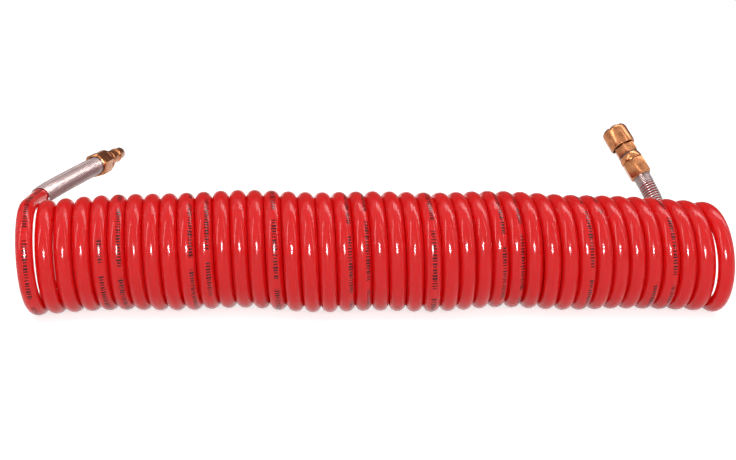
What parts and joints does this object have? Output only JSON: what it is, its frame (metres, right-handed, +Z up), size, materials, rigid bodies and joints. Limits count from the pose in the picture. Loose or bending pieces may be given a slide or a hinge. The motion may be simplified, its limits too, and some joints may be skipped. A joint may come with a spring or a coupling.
{
  "type": "coiled air hose",
  "caption": "Coiled red air hose with spring guards, a quick plug on one end and a sleeve-release quick coupler on the other.",
  "frame": {"origin": "on the floor, under the lowest run of the coil's middle turn", "axes": "+X along the coil from the plug end to the coupler end, +Y towards the two hose tails, +Z up"},
  "size_m": [0.5202, 0.2271, 0.1237],
  "materials": {
    "hose": "glossy flexible polyurethane",
    "zinc_wire": "bright zinc-plated wire",
    "brass": "polished, reddish",
    "steel": "bright steel",
    "seal": "black rubber"
  },
  "bodies": {
    "hose": {"hose_coil": "hose", "hose_tail_plug_end": "hose", "hose_tail_coupler_end": "hose", "plug_spring_guard": "zinc_wire", "coupler_spring_guard": "zinc_wire", "plug_union_nut": "brass", "coupler_union_nut": "brass", "plug_clamp_ring": "brass", "coupler_clamp_ring": "brass", "quick_plug": "brass", "coupler_adapter": "brass", "sealing_washer": "seal", "coupler_body": "brass", "nose_seal": "seal", "valve_spring": "steel", "sleeve_spring": "steel", "retaining_ring": "steel"},
    "sleeve": {"release_sleeve": "brass"},
    "poppet": {"valve_poppet": "brass", "valve_seal": "seal"},
    "ball_1": {"lock_ball_1": "steel"},
    "ball_2": {"lock_ball_2": "steel"},
    "ball_3": {"lock_ball_3": "steel"},
    "ball_4": {"lock_ball_4": "steel"},
    "ball_5": {"lock_ball_5": "steel"},
    "ball_6": {"lock_ball_6": "steel"}
  },
  "joints": [
    {"name": "sleeve_slide", "type": "slide", "parent": "hose", "child": "sleeve", "axis": [0.412, -0.5273, -0.7431], "range_m": [0, 0.004], "stiffness_N_per_m": 1500, "springref_m": -0.004, "deforming": ["sleeve_spring"]},
    {"name": "poppet_slide", "type": "slide", "parent": "hose", "child": "poppet", "axis": [0.412, -0.5273, -0.7431], "range_m": [0, 0.004], "stiffness_N_per_m": 800, "springref_m": -0.003, "deforming": ["valve_spring"]},
    {"name": "ball_1_slide", "type": "slide", "parent": "hose", "child": "ball_1", "axis": [-0.4575, 0.5856, -0.6691], "range_m": [0, 0.00121]},
    {"name": "ball_2_slide", "type": "slide", "parent": "hose", "child": "ball_2", "axis": [-0.9112, -0.2404, -0.3346], "range_m": [0, 0.00121]},
    {"name": "ball_3_slide", "type": "slide", "parent": "hose", "child": "ball_3", "axis": [-0.4537, -0.826, 0.3346], "range_m": [0, 0.00121]},
    {"name": "ball_4_slide", "type": "slide", "parent": "hose", "child": "ball_4", "axis": [0.4575, -0.5856, 0.6691], "range_m": [0, 0.00121]},
    {"name": "ball_5_slide", "type": "slide", "parent": "hose", "child": "ball_5", "axis": [0.9112, 0.2404, 0.3346], "range_m": [0, 0.00121]},
    {"name": "ball_6_slide", "type": "slide", "parent": "hose", "child": "ball_6", "axis": [0.4537, 0.826, -0.3346], "range_m": [0, 0.00121]}
  ],
  "couplings": [
    {"joint": "ball_1_slide", "follows": "sleeve_slide", "ratio": 0.3},
    {"joint": "ball_2_slide", "follows": "sleeve_slide", "ratio": 0.3},
    {"joint": "ball_3_slide", "follows": "sleeve_slide", "ratio": 0.3},
    {"joint": "ball_4_slide", "follows": "sleeve_slide", "ratio": 0.3},
    {"joint": "ball_5_slide", "follows": "sleeve_slide", "ratio": 0.3},
    {"joint": "ball_6_slide", "follows": "sleeve_slide", "ratio": 0.3}
  ]
}
